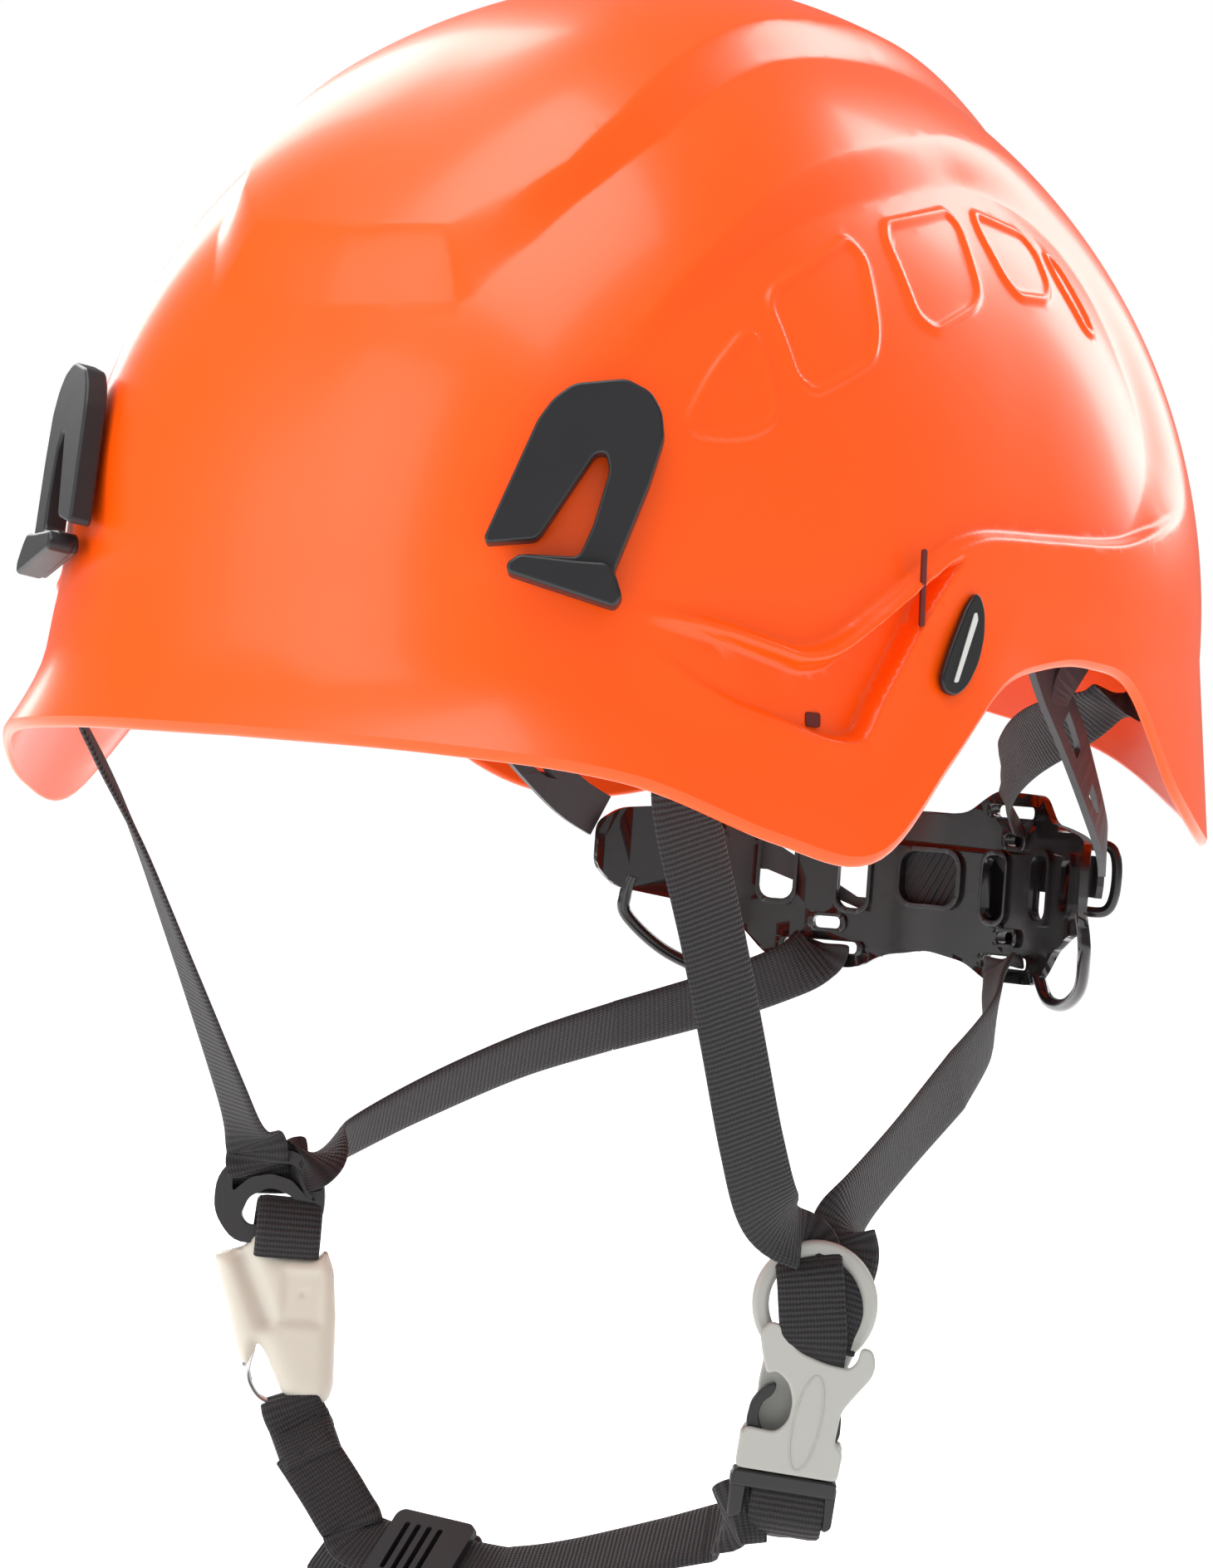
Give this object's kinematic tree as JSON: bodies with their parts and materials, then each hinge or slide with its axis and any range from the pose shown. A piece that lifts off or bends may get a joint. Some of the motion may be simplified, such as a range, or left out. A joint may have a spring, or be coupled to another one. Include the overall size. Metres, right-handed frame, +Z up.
{
  "type": "climbing helmet",
  "caption": "Hard-shell climbing helmet with lamp clips, inner textile suspension, size-wheel nape cradle and an adjustable Y-shaped chin harness with a side buckle.",
  "frame": {"origin": "the middle of the head opening at the headband's plane, halfway between the shell's sides, where the head holds the helmet", "axes": "+Z up through the crown, -Y out through the brim's front, +X towards the wearer's left"},
  "size_m": [0.234, 0.2979, 0.377],
  "materials": {
    "orange_shell": "moulded shell, glossy orange",
    "matte_black_plastic": "moulded, fine texture",
    "black_plastic": "moulded, smooth",
    "dark_grey_plastic": "moulded, matte",
    "padding": "foam covered with textile",
    "black_webbing": "woven polyester webbing",
    "grey_plastic": "moulded, satin",
    "milky_plastic": "translucent elastomer sleeve",
    "plated_metal": "bright plated"
  },
  "bodies": {
    "helmet": {"outer_shell": "orange_shell", "clip_front_left": "matte_black_plastic", "clip_front_right": "matte_black_plastic", "clip_rear_left": "matte_black_plastic", "clip_rear_right": "matte_black_plastic", "badge_left": "matte_black_plastic", "badge_right": "matte_black_plastic", "anchor_front_left": "black_plastic", "anchor_front_right": "black_plastic", "anchor_rear_left": "black_plastic", "anchor_rear_right": "black_plastic", "yoke_rivet_front_left": "black_plastic", "yoke_rivet_front_right": "black_plastic", "yoke_rivet_rear_left": "black_plastic", "yoke_rivet_rear_right": "black_plastic", "y_divider": "black_plastic", "front_headband": "dark_grey_plastic", "brow_pad": "padding", "crown_pad": "padding", "crown_strap_left": "black_webbing", "crown_strap_right": "black_webbing", "nape_webbing_left": "black_webbing", "nape_webbing_right": "black_webbing", "front_strap_left": "black_webbing", "front_strap_right": "black_webbing", "strap_tab_left": "black_webbing", "strap_tab_right": "black_webbing", "rear_strap_left": "black_webbing", "rear_strap_right": "black_webbing", "ring_webbing": "black_webbing", "hook_webbing": "black_webbing", "lower_chin_strap": "black_webbing", "strap_tail": "black_webbing", "buckle_body": "grey_plastic", "hook_cover": "milky_plastic", "hook": "plated_metal"},
    "cradle": {"rear_cradle": "black_plastic", "window_insert": "padding", "wheel_housing": "black_plastic"},
    "wheel": {"size_wheel": "matte_black_plastic", "pinion": "black_plastic"},
    "left_rack": {"rack_left": "dark_grey_plastic"},
    "right_rack": {"rack_right": "dark_grey_plastic"},
    "left_yoke": {"yoke_left": "dark_grey_plastic"},
    "right_yoke": {"yoke_right": "dark_grey_plastic"},
    "plug": {"buckle_plug": "black_plastic", "plug_webbing": "black_webbing"},
    "left_prong": {"prong_left": "black_plastic"},
    "right_prong": {"prong_right": "black_plastic"},
    "slider": {"strap_slider": "black_plastic"},
    "bail": {"wire_loop": "plated_metal", "loop_webbing": "black_webbing"}
  },
  "joints": [
    {"name": "wheel_turn", "type": "hinge", "parent": "cradle", "child": "wheel", "pos_m": [0, 0.1372, -0.057], "axis": [0, 1, 0], "range_deg": [-90, 90]},
    {"name": "cradle_reach", "type": "slide", "parent": "helmet", "child": "cradle", "axis": [0, 1, 0], "range_m": [-0.0068, 0.0068]},
    {"name": "left_rack_run", "type": "hinge", "parent": "cradle", "child": "left_rack", "pos_m": [0, 0.043, -0.053], "axis": [0, 0, 1], "range_deg": [-4.6, 4.6]},
    {"name": "right_rack_run", "type": "hinge", "parent": "cradle", "child": "right_rack", "pos_m": [0, 0.043, -0.053], "axis": [0, 0, 1], "range_deg": [-4.6, 4.6]},
    {"name": "left_yoke_swing", "type": "hinge", "parent": "helmet", "child": "left_yoke", "pos_m": [0.095, 0.029, 0.014], "axis": [0, 1, 0], "range_deg": [-3.7, 3.7]},
    {"name": "right_yoke_swing", "type": "hinge", "parent": "helmet", "child": "right_yoke", "pos_m": [-0.095, 0.029, 0.014], "axis": [0, 1, 0], "range_deg": [-3.7, 3.7]},
    {"name": "plug_pull", "type": "slide", "parent": "helmet", "child": "plug", "axis": [-0.0705, -0.0512, -0.9962], "range_m": [0, 0.004]},
    {"name": "left_prong_press", "type": "hinge", "parent": "plug", "child": "left_prong", "pos_m": [0.08041, -0.02898, -0.19141], "axis": [-0.5878, 0.809, 0], "range_deg": [-8.6, 0]},
    {"name": "right_prong_press", "type": "hinge", "parent": "plug", "child": "right_prong", "pos_m": [0.07106, -0.03577, -0.1904], "axis": [-0.5878, 0.809, 0], "range_deg": [0, 8.6]},
    {"name": "slider_run", "type": "slide", "parent": "helmet", "child": "slider", "axis": [0.9984, 0, -0.0562], "range_m": [-0.003, 0.006]},
    {"name": "bail_swing", "type": "hinge", "parent": "helmet", "child": "bail", "pos_m": [-0.07698, -0.02853, -0.1755], "axis": [-0.5878, 0.809, 0], "range_deg": [-3, 6]}
  ],
  "couplings": [
    {"joint": "cradle_reach", "follows": "wheel_turn", "m_per_rad": 0.0042},
    {"joint": "left_rack_run", "follows": "wheel_turn", "ratio": -0.04953},
    {"joint": "right_rack_run", "follows": "wheel_turn", "ratio": 0.04953},
    {"joint": "left_yoke_swing", "follows": "wheel_turn", "ratio": -0.0393},
    {"joint": "right_yoke_swing", "follows": "wheel_turn", "ratio": 0.0393},
    {"joint": "left_prong_press", "follows": "plug_pull", "rad_per_m": -37},
    {"joint": "right_prong_press", "follows": "plug_pull", "rad_per_m": 37}
  ]
}
